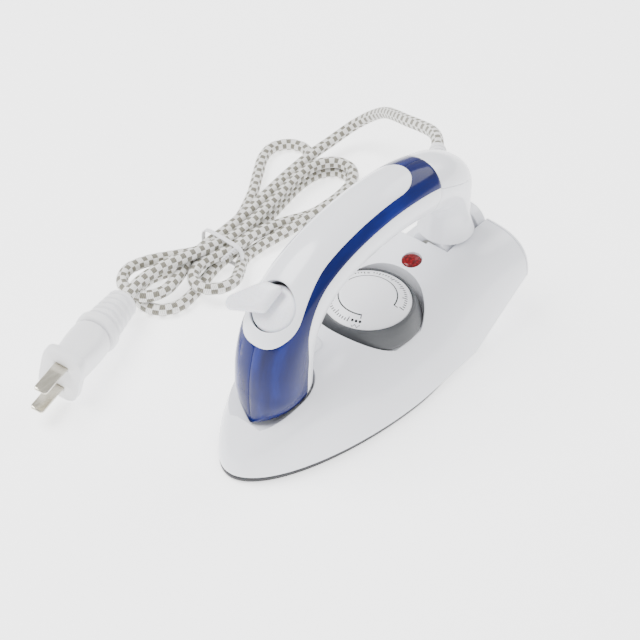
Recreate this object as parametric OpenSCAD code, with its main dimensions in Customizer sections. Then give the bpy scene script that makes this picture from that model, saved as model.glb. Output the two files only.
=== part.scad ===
/* [Body] */
// Length from the nose to the flat heel face
body_l = 166; // [160:1:172]
// Half width of the body at its widest
body_hw = 36.2; // [34:0.1:38]
// Height of the hump at the middle of the body
hump_z = 38.2; // [37.6:0.1:39]
// Height of the top at the heel
heel_z = 43.7; // [42:0.1:45]
// Wall thickness of the moulded shells
wall = 2; // [1.8:0.1:2.4]

/* [Soleplate] */
// Length of the soleplate, nose to rear edge
sole_l = 140; // [136:1:142]
// Thickness of the soleplate's edge
sole_t = 3.2; // [2.5:0.1:3.4]
// Half width of the soleplate at its widest
sole_hw = 35.4; // [33:0.1:35.6]
// Diameter of a steam hole
steam_hole_d = 3; // [2:0.5:4]

/* [Handle] */
// Height of the fold axis over the table
pivot_z = 38; // [37:0.5:39]
// Radius of the rounded front foot
foot_r = 15.3; // [14:0.1:15.5]
// Radius of the rear barrel
barrel_r = 9.6; // [9:0.1:10]
// Gap between the handle's feet and their pockets
pocket_gap = 0.6; // [0.4:0.1:1]
// Diameter of the two pivot pins
pin_d = 4; // [3.5:0.5:4]

/* [Dial] */
// Outer radius of the dial ring at its foot
dial_r = 24.4; // [23:0.1:24.6]
// Distance of the dial from the nose
dial_u = 91; // [90:0.5:92]
// Height of the dial ring's upper edge
dial_z = 38.6; // [38.2:0.1:39]

/* [Lever] */
// Radius of the steam lever's cap
lever_r = 10; // [9:0.1:10.4]
// Forward tilt of the lever's axis
lever_tilt = 38; // [36:1:40]

/* [Cord] */
// Diameter of the braided cord
cord_d = 5.8; // [5:0.1:6]

/* [Hidden] */

half = body_l / 2;
eps = 0.02;

function mix(a, b, t) = a + (b - a) * t;
function clamp(t) = max(0, min(1, t));
function ease(t) = let (c = clamp(t)) c * c * (3 - 2 * c);
// Place along the body, counted from the nose, as a frame y
function at(u) = u - half;

// ---- Body outline: half width, lower edge and crown height at a distance u from the nose ----
function sole_w(u) = let (t = clamp(u / 90), front = pow(1 - pow(1 - t, 1.7), 0.52))
    sole_hw * front - (u > 90 ? 0.0147 * pow(u - 90, 1.44) : 0);
function body_w(u) = let (t = clamp(u / 90)) body_hw * pow(1 - pow(1 - t, 1.7), 0.52)
    - 1.2 * ease((u - 110) / 56);
function body_low(u) = sole_t + 0.3 + 0.535 * max(0, u - 126);
function body_top(u) = let (t = clamp(u / 42))
    5 + (hump_z - 5) * pow(1 - pow(1 - t, 1.6), 0.7) + (heel_z - hump_z) * ease((u - 100) / 45);
// Exponents that make the section a rounded hump in the middle and boxy at both ends
function sec_p(u) = mix(mix(3, 2.3, ease((u - 30) / 35)), 4.2, ease((u - 95) / 55));
function sec_q(u) = mix(mix(2.4, 1.45, ease((u - 30) / 35)), 2.2, ease((u - 95) / 55));
function body_ring(u, w, low, top, n = 22) = [for (i = [0 : n]) let (a = 180 * i / n)
    [w * sign(cos(a)) * pow(abs(cos(a)), 2 / sec_p(u)), at(u),
     low + (top - low) * pow(sin(a), 2 / sec_q(u))]];

front_us = [0.1, 0.5, 1.3, 2.8, 5, 8, 12, 17, 22, 28, 35, 42];
body_us = concat(front_us, [for (u = [50 : 8 : 122]) u], [126, 132, 140, 148, 156, 163.2]);
inner_us = concat([2.6, 5, 8, 12, 17, 22, 28, 35, 42], [for (u = [50 : 8 : 122]) u],
    [126, 126.1, 132, 140, 148, 156, 163.4]);

// Closed solid through a list of rings that all have the same number of points
module loft(rings) {
    n = len(rings[0]);
    m = len(rings);
    points = [for (r = rings) for (p = r) p];
    sides = [for (j = [0 : m - 2]) for (i = [0 : n - 1]) let (k = (i + 1) % n)
        each [[j * n + i, j * n + k, (j + 1) * n + k], [j * n + i, (j + 1) * n + k, (j + 1) * n + i]]];
    start = [[for (i = [n - 1 : -1 : 0]) i]];
    finish = [[for (i = [0 : n - 1]) (m - 1) * n + i]];
    polyhedron(points, concat(sides, start, finish));
}

module body_solid() loft([for (u = body_us) body_ring(u, body_w(u), body_low(u), body_top(u))]);
module body_hollow() loft([for (u = inner_us)
    body_ring(u, body_w(u) - wall, u > 126 ? body_low(u) + wall : -1, body_top(u) - wall)]);

// A box between two stations, from z0 up
module between(u0, u1, x0, x1, z0, z1) translate([x0, at(u0), z0]) cube([x1 - x0, u1 - u0, z1 - z0]);
// A cylinder along the fold axis between two stations
module along(u0, u1, r) translate([0, at(u0), pivot_z]) rotate([-90, 0, 0])
    cylinder(h = u1 - u0, r = r, $fn = 72);

// Space that the front foot needs, upright and folded to the right (-X) side
module front_pocket(g) {
    along(13.2 - g, 29.6, foot_r + pocket_gap + g);
    translate([0, at(29.5), pivot_z]) rotate([-90, 0, 0]) rotate_extrude($fn = 72)
        polygon(concat([[0, 0]], [for (i = [0 : 9]) let (a = 10 * i, r = foot_r + pocket_gap + g)
            [r * pow(cos(a), 0.82), r * pow(sin(a), 0.82)]], [[0, foot_r + pocket_gap + g]]));
    between(13.2 - g, 46 + g, -60, 6, pivot_z, 70);
    between(13.2 - g, 46 + g, -60, 0, pivot_z - foot_r - pocket_gap - g, 70);
    between(40, 63 + g, -60, -18.5 + g, pivot_z - foot_r - pocket_gap - g, 70);
}
// Space that the rear barrel and post need
module rear_pocket(g) {
    along(134.6 - g, 170, barrel_r + pocket_gap + g);
    between(134.6 - g, 170, -barrel_r - pocket_gap - g, barrel_r + pocket_gap + g, pivot_z, 70);
    between(133 - g, 159.6 + g, -60, -0.5, 23.4 - g, 70);
    between(127.5 - g, 159.6 + g, -60, -17 + g, 23.4 - g, 70);
}
// Open corner of the heel where the cord's gland comes to lie when the handle is folded
module cord_notch() between(149, 170, -60, -25.6, 14, 70);
module dial_well(g) translate([0, at(dial_u), 28.6 - g]) cylinder(h = 30, r = dial_r + 0.5 + g, $fn = 96);

// ---- Handle: stations along its arch, [u, z, half width, half depth] ----
arch = [[29.5, 38, 15.2, 15.3], [30.3, 50, 15.2, 15], [34, 62.5, 15, 14.4], [43, 74, 14.6, 13.6],
    [56, 81.5, 14.2, 13.1], [72, 85.5, 14, 13], [90, 87, 14, 13], [107, 86, 14, 13],
    [121, 83.2, 13.7, 13], [134, 79, 13, 12.8], [143, 71, 11.5, 13], [146.3, 60, 10, 10.8],
    [146.4, 51.5, 10.4, 11.2], [146.4, 44.6, 13, 12.6]];
last = len(arch) - 1;
function knot(i) = arch[max(0, min(last, i))];
function spline(s) = let (i = min(last - 1, floor(s)), t = s - i,
    p0 = knot(i - 1), p1 = knot(i), p2 = knot(i + 1), p3 = knot(i + 2))
    (2 * p1 + (p2 - p0) * t + (2 * p0 - 5 * p1 + 4 * p2 - p3) * t * t
    + (3 * p1 - p0 - 3 * p2 + p3) * t * t * t) / 2;
// Outward normal of the arch in the u-z plane
function normal(s) = let (a = spline(max(0, s - 0.05)), b = spline(min(last, s + 0.05)),
    d = [b[0] - a[0], b[1] - a[1]]) [-d[1], d[0]] / norm(d);
// Sections are rounder in the grip and squarer in the front foot
function squareness(s) = mix(0.82, 0.95, ease((s - 1) / 3));
// Point of the handle's surface at station s, angle a from the outward normal, inset by k
function skin(s, a, k) = let (c = spline(s), n = normal(s), e = squareness(s),
    x = (c[2] - k) * sign(sin(a)) * pow(abs(sin(a)), e),
    h = (c[3] - k) * sign(cos(a)) * pow(abs(cos(a)), e))
    [x, at(c[0] + h * n[0]), c[1] + h * n[1]];
// The foot's round lower end: below the axis the half width shrinks as in a barrel
function foot_skin(b, a, k) = let (r = foot_r - k,
    w = r * pow(abs(sin(a)), 0.82), h = r * sign(cos(a)) * pow(abs(cos(a)), 0.82))
    [w * cos(b) * sign(sin(a)), at(29.5 - h), pivot_z - (h < 0 ? w : r) * sin(b)];
function handle_skin(s, a, k) = s < 0 ? foot_skin(-s, a, k) : skin(s, a, k);

// Half angle of the white cover over the top of the grip
function cover_angle(s) = let (full = mix(60, 43, ease((s - 2.2) / 1.8)),
    front = clamp((s - 1.72) / 0.9), rear = clamp((7.25 - s) / 0.75))
    full * sqrt(1 - pow(1 - front, 2)) * sqrt(1 - pow(1 - rear, 2));
// Half angle of the blue shell, which reaches far round the foot and only half way round the grip
function band_angle(s) = s < 0 ? 103 : mix(103, 69, ease((s - 0.9) / 2.8));
ring_end = 8.05;
foot_bs = [-84, -65, -45, -25];
blue_ss = concat(foot_bs, [for (s = [0 : 0.5 : 1.5]) s], [1.72, 1.8, 2, 2.3, 2.62, 3],
    [for (s = [3.5 : 0.5 : 6.5]) s], [6.8, 7.05, 7.2, 7.25, 7.6, ring_end]);
cover_ss = [1.73, 1.8, 2, 2.3, 2.62, 3, 3.5, 4, 4.5, 5, 5.5, 6, 6.5, 6.8, 7.05, 7.2, 7.24];
lower_ss = concat(foot_bs, [for (s = [0 : 0.5 : 7.5]) s], [ring_end]);
post_ss = [8.06, 8.3, 8.7, 9.1, 9.5, 9.9, 10.3, 10.7, 11.2, 11.6, 12, 12.3, 12.65, 13];

// Curved wall between two angles, each a list with one entry per station
module slab(ss, a0, a1, k0, k1, n) loft([for (j = [0 : len(ss) - 1]) concat(
    [for (i = [0 : n]) handle_skin(ss[j], mix(a0[j], a1[j], i / n), k0)],
    [for (i = [n : -1 : 0]) handle_skin(ss[j], mix(a0[j], a1[j], i / n), k1)])]);
module handle_tube(ss, k, n = 24) loft([for (s = ss) [for (i = [0 : n - 1]) handle_skin(s, -360 * i / n, k)]]);
// Everything under the straight seam between the rear cap and the lower shell
module under_seam() translate([-30, at(108), 94.14]) rotate([-24.7, 0, 0]) translate([0, -30, -110])
    cube([60, 130, 110]);
// Frame of the steam lever: its axis stands on the handle's front slope
module on_lever() translate([0, at(31), 75.6]) rotate([lever_tilt, 0, 0]) children();

// ---- Base ----
module sole_outline(inset) {
    us = concat([0.2, 0.8, 2, 4, 7, 11], [for (u = [16 : 6 : 130]) u], [134, 137, 139, sole_l]);
    w = [for (u = us) max(0.5, (sole_w(u) - inset) - (u > 130 ? 6 * pow((u - 130) / 10, 4) : 0))];
    k = 1 - inset / 60;
    polygon(concat([for (i = [0 : len(us) - 1]) [w[i], at(inset * 1.4 + us[i] * k)]],
        [for (i = [len(us) - 1 : -1 : 0]) [-w[i], at(inset * 1.4 + us[i] * k)]]));
}
// The raised chamber under the body stops where the body's underside starts to rise
module chamber_outline(inset) intersection() {
    sole_outline(inset);
    translate([-50, at(0)]) square([100, 132.4 - inset]);
}
steam_holes = [for (u = [20, 32, 44, 56]) for (x = [-1, 1]) [x * (sole_w(u) - 9), u]];
screw_places = [[0, 64], [-19, 110], [19, 110]];

module soleplate() color("dimgray") difference() {
    union() {
        difference() {
            union() {
                linear_extrude(sole_t) sole_outline(0);
                linear_extrude(10) chamber_outline(7);
            }
            translate([0, 0, 6]) linear_extrude(10) chamber_outline(13);
        }
        for (p = screw_places) translate([p[0], at(p[1]), 5]) cylinder(h = 5.8, r = 3, $fn = 32);
    }
    for (p = screw_places) translate([p[0], at(p[1]), 5.6]) cylinder(h = 6, r = 1.62, $fn = 24);
    for (h = steam_holes) translate([h[0], at(h[1]), -1]) cylinder(h = 12, d = steam_hole_d, $fn = 24);
    for (u = [20, 27]) translate([0, at(u), -1]) cylinder(h = 12, d = steam_hole_d, $fn = 24);
}
// Heating rod: a U that follows the plate, cast under the chamber, with its two cold ends turned up
module heating_element() color("silver") {
    for (x = [-1, 1]) {
        translate([x * 14, at(60), 8]) rotate([-90, 0, 0]) cylinder(h = 55, r = 2, $fn = 24);
        translate([x * 14, at(115), 6]) cylinder(h = 14, r = 2, $fn = 24);
    }
    translate([0, at(60), 8]) rotate([0, 0, 180]) rotate_extrude(angle = 180, $fn = 48)
        translate([14, 0]) circle(r = 2, $fn = 24);
}
module chamber_gasket() color("firebrick") translate([0, 0, 10]) linear_extrude(0.8) difference() {
    chamber_outline(8);
    chamber_outline(11.5);
}
module steam_chamber_cover() color("lightgray") difference() {
    translate([0, 0, 10.8]) linear_extrude(1.4) chamber_outline(8);
    for (x = [-14, 14]) translate([x, at(115), 9]) cylinder(h = 5, r = 2.6, $fn = 24);
    translate([0, at(31), 9]) cylinder(h = 5, r = 3.05, $fn = 24);
    for (p = screw_places) translate([p[0], at(p[1]), 9]) cylinder(h = 5, r = 1.7, $fn = 24);
}
module chamber_screws() color("silver") for (p = screw_places) translate([p[0], at(p[1]), 6.2]) {
    cylinder(h = 6, r = 1.6, $fn = 24);
    translate([0, 0, 6]) cylinder(h = 1.5, r = 2.8, $fn = 24);
}
module heat_shield() color("gainsboro") difference() {
    translate([0, 0, 14.6]) linear_extrude(0.6) chamber_outline(12.8);
    for (x = [-14, 14]) translate([x, at(115), 14]) cylinder(h = 3, r = 3.4, $fn = 24);
    translate([0, at(31), 14]) cylinder(h = 3, r = 4, $fn = 24);
    translate([0, at(dial_u), 14]) cylinder(h = 3, r = 9, $fn = 32);
}
module base_skirt() color("dimgray") difference() {
    union() {
        translate([0, 0, sole_t]) linear_extrude(0.3) sole_outline(0.8);
        translate([0, 0, sole_t]) linear_extrude(3) intersection() {
            chamber_outline(3);
            translate([-50, at(0)]) square([100, 125.4]);
        }
    }
    translate([0, 0, sole_t - 1]) linear_extrude(6) chamber_outline(6.6);
}
module body_shell() color("white") difference() {
    union() {
        difference() {
            body_solid();
            body_hollow();
        }
        intersection() {
            body_solid();
            union() {
                front_pocket(1.8);
                rear_pocket(1.8);
                dial_well(2);
                for (x = [-22, 22]) translate([x, at(159.6), 35]) rotate([-90, 0, 0])
                    cylinder(h = 3.6, r = 3.2, $fn = 32);
            }
        }
        along(46, 54.5, pin_d / 2 + 1.9);
        translate([0, at(54.5), pivot_z]) sphere(r = pin_d / 2 + 1.9, $fn = 72);
    }
    front_pocket(0);
    rear_pocket(0);
    cord_notch();
    dial_well(0);
    translate([0, at(dial_u), 20]) cylinder(h = 12, d = 6.1, $fn = 48);
    translate([0, at(122), 24]) cylinder(h = 20, r = 4.6, $fn = 48);
    translate([0, at(31), 18]) cylinder(h = 8, r = 3.05, $fn = 32);
    along(40, 54, pin_d / 2 + 0.01);
    along(126, 140, pin_d / 2 + 0.01);
    for (x = [-22, 22]) translate([x, at(160.4), 35]) rotate([-90, 0, 0]) cylinder(h = 4, r = 1.52, $fn = 24);
}
module rear_cover() color("white") difference() {
    loft([for (t = [0 : 5]) let (a = 18 * t, d = 2.4 * (1 - cos(a)), u = 163.6 + 2.4 * sin(a))
        body_ring(163.2, body_w(163.2) - d, body_low(163.2) + d, body_top(163.2) - d, 22)
        * [[1, 0, 0], [0, 0, 0], [0, 0, 1]] + [for (i = [0 : 22]) [0, at(u), 0]]]);
    along(150, 175, barrel_r + pocket_gap);
    between(150, 175, -barrel_r - pocket_gap, barrel_r + pocket_gap, pivot_z, 60);
    cord_notch();
    for (x = [-22, 22]) translate([x, half + 1, 35]) rotate([90, 0, 0]) cylinder(h = 8, r = 1.6, $fn = 24);
    for (x = [-22, 22]) translate([x, half + 1, 35]) rotate([90, 0, 0]) cylinder(h = 2.4, r = 3, $fn = 24);
}
module rear_cover_screws() color("silver") for (x = [-22, 22]) translate([x, half - 0.2, 35])
    rotate([90, 0, 0]) difference() {
        union() {
            cylinder(h = 1.2, r = 2.7, $fn = 24);
            cylinder(h = 5.2, r = 1.5, $fn = 24);
        }
        for (a = [0, 90]) rotate([0, 0, a]) translate([-1.8, -0.35, -1]) cube([3.6, 0.7, 1.7]);
    }

module thermostat() color("tan") difference() {
    translate([0, at(dial_u), 14.2]) cylinder(h = 10.2, r = 8.4, $fn = 48);
    translate([0, at(dial_u), 18]) cylinder(h = 9, d = 6.1, $fn = 48);
}
module thermostat_bracket() color("silver") difference() {
    between(dial_u - 6, dial_u + 18, -6, 6, 12.2, 13);
    translate([0, at(dial_u + 13), 12]) cylinder(h = 2, r = 1.6, $fn = 24);
}
module bimetal_strip() color("goldenrod") between(dial_u - 5, dial_u + 5, -3, 3, 13, 14.2);
module thermal_fuse() color("white") translate([-16, at(97), 17.2]) rotate([-90, 0, 0])
    cylinder(h = 14, r = 2, $fn = 24);
module terminal_block() color("ivory") difference() {
    between(100, 108, -10, 10, 15.2, 23.2);
    for (x = [-6, 0, 6]) translate([x, at(104), 19]) cylinder(h = 8, r = 1.6, $fn = 20);
}
module lamp_lens() color("darkred") translate([0, at(122), 0]) difference() {
    union() {
        translate([0, 0, 30]) cylinder(h = 10.2, r = 4.5, $fn = 48);
        translate([0, 0, 40.2]) rotate_extrude($fn = 48) intersection() {
            translate([0, -8]) circle(r = 9.18, $fn = 96);
            square([4.5, 3]);
        }
    }
    translate([0, 0, 29]) cylinder(h = 9, r = 2.45, $fn = 32);
}
module neon_lamp() color("orange") translate([0, at(122), 28]) {
    cylinder(h = 7, r = 2.4, $fn = 32);
    translate([0, 0, 7]) sphere(r = 2.4, $fn = 32);
}
module steam_hose() color("mistyrose") translate([0, at(31), 12.2]) difference() {
    cylinder(h = 9.4, r = 3, $fn = 32);
    translate([0, 0, -1]) cylinder(h = 12, r = 1.6, $fn = 24);
}
module front_pivot_pin() color("silver") along(17.4, 54, pin_d / 2);
module rear_pivot_pin() color("silver") {
    along(129.4, 150, pin_d / 2);
    along(129.4, 131, 3.4);
}
module pin_clips() color("gray") for (u = [18.2, 147.6]) difference() {
    along(u, u + 0.8, 3.8);
    along(u - 1, u + 2, pin_d / 2);
}
// Leads from the terminal block to the cold ends of the heating rod
module heater_leads() color("saddlebrown") for (x = [-1, 1]) translate([x * 7, at(108.7), 18.4])
    rotate([-90, 0, x * -51.3]) cylinder(h = 6.6, r = 0.9, $fn = 16);

// ---- Dial ----
module on_dial() translate([0, at(dial_u), 0]) children();
module dial_ring() color("dimgray") on_dial() rotate_extrude($fn = 96)
    polygon([[dial_r, 29.2], [dial_r - 0.2, 30.6], [22.6, 35.2], [21.2, 38], [20.4, dial_z],
        [19.7, dial_z], [19.7, 36.6], [6, 36.6], [6, 34.8], [19, 34.8], [21.6, 32], [22.4, 29.2]]);
module dial_face() color("lightgray") on_dial() rotate_extrude($fn = 96)
    polygon([[0, 36.6], [19.6, 36.6], [19.6, 38.4], [12.4, 41.2], [11.6, 41.5], [0, 41.7]]);
module dial_spindle() color("silver") on_dial() difference() {
    union() {
        translate([0, 0, 19]) cylinder(h = 17.6, d = 6, $fn = 48);
        translate([0, 0, 31]) cylinder(h = 3.6, r = 5.4, $fn = 48);
    }
    translate([0, 0, 24.6]) rotate_extrude($fn = 48) translate([2.5, 0]) square([2, 1]);
}
module spindle_clip() color("gray") on_dial() translate([0, 0, 24.7]) difference() {
    cylinder(h = 0.8, r = 4.6, $fn = 32);
    translate([0, 0, -1]) cylinder(h = 3, r = 2.5, $fn = 48);
}

// ---- Handle ----
function angles(ss, sgn) = [for (s = ss) sgn * band_angle(s)];
function cover_edges(ss, sgn) = [for (s = ss) sgn * max(0.15, cover_angle(s))];
module lever_recess(r, d) on_lever() translate([0, 0, -d]) cylinder(h = d + 12, r = r, $fn = 72);
module handle_shell_right() color("royalblue") difference() {
    slab(blue_ss, cover_edges(blue_ss, -1), angles(blue_ss, -1), 0, wall, 7);
    lever_recess(lever_r + 0.6, 3.2);
}
module handle_shell_left() color("royalblue") mirror([1, 0, 0]) handle_shell_right();
// The screw that holds the grip's cover to its lower shell, from below
module grip_screw_place() translate([0, at(98), 75]) children();
module grip_cover() color("white") difference() {
    union() {
        slab(cover_ss, [for (s = cover_ss) cover_angle(s) - 0.2], [for (s = cover_ss) 0.2 - cover_angle(s)],
            -0.15, wall, 14);
        grip_screw_place() translate([0, 0, 1]) cylinder(h = 22.6, r = 3, $fn = 32);
    }
    lever_recess(lever_r + 0.5, 3.2);
    grip_screw_place() cylinder(h = 14, r = 1.22, $fn = 24);
}
module handle_lower_shell() color("whitesmoke") difference() {
    slab(lower_ss, [for (s = lower_ss) 360 - band_angle(s)], angles(lower_ss, 1), 0, wall, 16);
    along(30, 60, 5.02);
    grip_screw_place() cylinder(h = 30, r = 1.6, $fn = 24);
    grip_screw_place() translate([0, 0, -5]) cylinder(h = 5.2, r = 3, $fn = 32);
}
// Rear end of the arch below the cap's seam, with the barrel that turns in the body's rear pocket
module rear_post() color("whitesmoke") difference() {
    union() {
        intersection() {
            difference() {
                handle_tube(post_ss, 0);
                handle_tube(concat([7.9], [for (s = post_ss) if (s < 12.1) s]), wall);
            }
            under_seam();
        }
        along(135.2, 156, barrel_r);
    }
    along(130, 154, 5.03);
    along(150, 160, 2.5);
    along(155.7, 168, barrel_r + 0.3);
    gland_hole();
}
module rear_cap() color("white") difference() {
    handle_tube([for (s = post_ss) if (s < 11) s], 0);
    handle_tube(concat([7.9], [for (s = post_ss) if (s < 11.5) s]), wall);
    translate([0, 0, 0.15]) under_seam();
}
tank_ss = [3.45, 3.8, 4.2, 4.8, 5.4, 6.05];
module water_tank() color("lightskyblue") difference() {
    handle_tube(tank_ss, wall + 0.5, 16);
    handle_tube([3.56, 3.8, 4.2, 4.8, 5.4, 5.93], wall + 1.6, 16);
    on_lever() translate([0, 0, -9]) rotate([-90, 0, 0]) cylinder(h = 19, r = 2.25, $fn = 32);
}
module valve_seat() color("white") on_lever() difference() {
    union() {
        translate([0, 0, -16]) cylinder(h = 12.6, r = 4.9, $fn = 48);
        translate([0, 0, -9]) rotate([-90, 0, 0]) cylinder(h = 16.8, r = 2.2, $fn = 32);
    }
    translate([0, 0, -14]) cylinder(h = 14, d = 6.1, $fn = 48);
    translate([0, 0, -18]) cylinder(h = 5, d = 2.1, $fn = 32);
    translate([0, 0, -9]) rotate([-90, 0, 0]) cylinder(h = 19, r = 1.3, $fn = 32);
}
module tank_seal() color("tomato") on_lever() translate([0, 0, -17.6]) difference() {
    cylinder(h = 1.6, r = 4.9, $fn = 48);
    translate([0, 0, -1]) cylinder(h = 4, r = 1.3, $fn = 32);
}
// Thin tube that leads the drops from the valve down past the front bush
module drip_tube() color("lightskyblue") translate([0, at(40.6), 61.2]) rotate([165, 19.5, 0]) difference() {
    cylinder(h = 31, r = 1.4, $fn = 32);
    translate([0, 0, -1]) cylinder(h = 34, r = 0.9, $fn = 24);
}
module front_bush() color("ivory") difference() {
    along(19.6, 44.2, 5);
    along(16, 50, pin_d / 2 + 0.05);
}
module rear_bush() color("ivory") difference() {
    along(136, 147, 5);
    along(135, 151, pin_d / 2 + 0.05);
}
module grip_screw() color("silver") grip_screw_place() {
    translate([0, 0, 0.2]) cylinder(h = 12, r = 1.2, $fn = 24);
    translate([0, 0, -1.2]) cylinder(h = 1.4, r = 2.8, $fn = 24);
}
// Tapered strain relief: leaves the handle towards the right rear
module on_gland() translate([-7, at(147.5), 70.6]) rotate([0, -95.7, -52.8]) children();
gland_l = 21;
module gland_hole() on_gland() translate([0, 0, -2]) cylinder(h = 16, r = 4.75, $fn = 48);
module cord_gland() color("whitesmoke") on_gland() rotate_extrude($fn = 48)
    polygon([[0, 0], [4.7, 0], [4.7, 5.4], [5.6, 5.4], [5.6, 6.8], [4.4, 13], [3.6, gland_l], [0, gland_l]]);
module cord_clamp() color("ivory") difference() {
    between(142.8, 149.8, -7, 7, 60, 62.6);
    for (x = [-2.6, 2.6]) translate([x, at(146.3), 50]) cylinder(h = 20, r = 1.22, $fn = 16);
}
module mains_wires() color("saddlebrown") for (x = [-2.6, 2.6]) translate([x, at(146.3), 52])
    cylinder(h = 16, r = 1.1, $fn = 16);

// ---- Steam lever ----
module steam_lever() color("mistyrose") on_lever() {
    translate([0, 0, -1.6]) rotate_extrude($fn = 72)
        polygon([[0, 0], [lever_r, 0], [lever_r, 1.8], [lever_r - 0.8, 2.8], [6, 3.6], [0, 4]]);
    translate([0, 0, -11]) cylinder(h = 10, d = 6, $fn = 48);
    translate([0, 0, 1]) linear_extrude(3) hull() {
        translate([-5, -2.6]) circle(r = 2, $fn = 32);
        translate([-2, 4.6]) circle(r = 2, $fn = 32);
    }
    translate([0, 0, 3]) linear_extrude(4.6) hull() {
        translate([-15.2, -6.4]) circle(r = 3.4, $fn = 32);
        translate([-5.5, 5.1]) circle(r = 2.6, $fn = 32);
        translate([0.4, 7.4]) circle(r = 1.2, $fn = 24);
        translate([-1.4, -2.6]) circle(r = 1.6, $fn = 24);
    }
}
module lever_o_ring() color("black") on_lever() translate([0, 0, -2.6]) rotate_extrude($fn = 48)
    translate([3.8, 0]) circle(r = 0.78, $fn = 24);
module valve_needle() color("silver") on_lever() {
    translate([0, 0, -16.6]) cylinder(h = 4, d = 2, $fn = 32);
}

// ---- Fold release ----
module release_button() color("white") {
    difference() {
        along(159.2, 165.8, barrel_r);
        along(150, 163.2, 5);
    }
    along(152.4, 163.3, 2.3);
    along(152.7, 153.8, 3.4);
}
module button_spring() color("silver") difference() {
    along(156, 163.2, 3.6);
    along(155, 164, 2.7);
}

// ---- Cord ----
// Route of the free lead, from the gland's end to the hank on the table
lead_route = [[-19.75, 81.3, 68.46], [-24.5, 87.4, 67.5], [-32, 94, 64.6], [-43, 99.5, 59.8],
    [-56, 105.5, 53.6], [-69, 113.5, 46], [-81, 121.5, 37.5], [-91.5, 127, 28.5], [-100.5, 129, 20],
    [-107, 127, 13.6], [-110, 121, 10.2], [-111, 113, 9], [-111.4, 105, 8.8]];
lead_n = 60;
function route_at(t) = let (m = len(lead_route) - 1, i = min(m - 1, floor(t * m)), v = t * m - i,
    p0 = lead_route[max(0, i - 1)], p1 = lead_route[i], p2 = lead_route[i + 1],
    p3 = lead_route[min(m, i + 2)])
    (2 * p1 + (p2 - p0) * v + (2 * p0 - 5 * p1 + 4 * p2 - p3) * v * v
    + (3 * p1 - p0 - 3 * p2 + p3) * v * v * v) / 2;
function unit(v) = v / norm(v);
function cord_ring(t) = let (d = unit(route_at(min(1, t + 0.01)) - route_at(max(0, t - 0.01))),
    side = unit(cross(d, [0, 0, 1])), up = cross(side, d))
    [for (i = [0 : 9]) route_at(t) + cord_d / 2 * (cos(36 * i) * side - sin(36 * i) * up)];
module cord_lead() color("silver") loft([for (i = [0 : lead_n]) cord_ring(i / lead_n)]);
// Outer shape of the tied hank: narrow at the plug's end, wide where its loops fan out
module cord_hank() color("silver") difference() {
    linear_extrude(13) hull() {
        translate([-104, -27]) circle(r = 14, $fn = 48);
        translate([-110, 84]) circle(r = 28, $fn = 64);
    }
    translate([-97.5, 18, -1]) linear_extrude(16) difference() {
        square([60, 3], center = true);
        square([24, 4], center = true);
    }
}
module hank_tie() color("white") translate([-97.5, 18, 0]) rotate([90, 0, 0])
    translate([0, 0, -1.2]) linear_extrude(2.4) difference() {
        translate([-13.4, 0]) square([26.8, 14.2]);
        translate([-12, -1]) square([24, 14]);
    }
// Plug: lies on the table with its face to the front
module on_plug() translate([-87, -97, 14.6]) rotate([-93, 0, 16]) children();
module plug_body() color("white") on_plug() rotate([0, 0, 14]) {
    linear_extrude(5) hull() for (x = [-1, 1]) for (y = [-1, 1])
        translate([x * 5.5, y * 8.6]) circle(r = 4.6, $fn = 32);
    translate([0, 0, 5]) cylinder(h = 25, r1 = 8.4, r2 = 9.6, $fn = 48);
}
module plug_relief() color("white") on_plug() translate([0, 0, 30]) rotate_extrude($fn = 48)
    polygon(concat([[0, 0], [10.4, 0], [10.4, 5]],
        [for (i = [0 : 4]) each [[7.2 - 0.2 * i, 5.4 + 4 * i], [7.2 - 0.2 * i, 7.2 + 4 * i],
            [8.9 - 0.3 * i, 7.4 + 4 * i], [8.9 - 0.3 * i, 9 + 4 * i]]],
        [[7.6, 25.4], [7.6, 27], [0, 27]]));
module plug_blades() color("silver") on_plug() rotate([0, 0, 14]) for (y = [-1, 1])
    translate([-3.15, y * 6.35 - 0.75, -17.5]) cube([6.3, 1.5, 17.5]);

soleplate();
heating_element();
chamber_gasket();
steam_chamber_cover();
heat_shield();
chamber_screws();
base_skirt();
body_shell();
rear_cover();
rear_cover_screws();
thermostat();
thermostat_bracket();
bimetal_strip();
thermal_fuse();
terminal_block();
lamp_lens();
neon_lamp();
steam_hose();
front_pivot_pin();
rear_pivot_pin();
pin_clips();
heater_leads();
dial_ring();
dial_face();
dial_spindle();
spindle_clip();
handle_shell_left();
handle_shell_right();
grip_cover();
handle_lower_shell();
rear_post();
rear_cap();
water_tank();
valve_seat();
tank_seal();
drip_tube();
front_bush();
rear_bush();
grip_screw();
cord_gland();
cord_clamp();
mains_wires();
steam_lever();
lever_o_ring();
valve_needle();
release_button();
button_spring();
cord_lead();
cord_hank();
hank_tie();
plug_relief();
plug_body();
plug_blades();
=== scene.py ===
import bpy, bmesh, math
from mathutils import Vector, Matrix
from mathutils.geometry import convex_hull_2d


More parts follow.
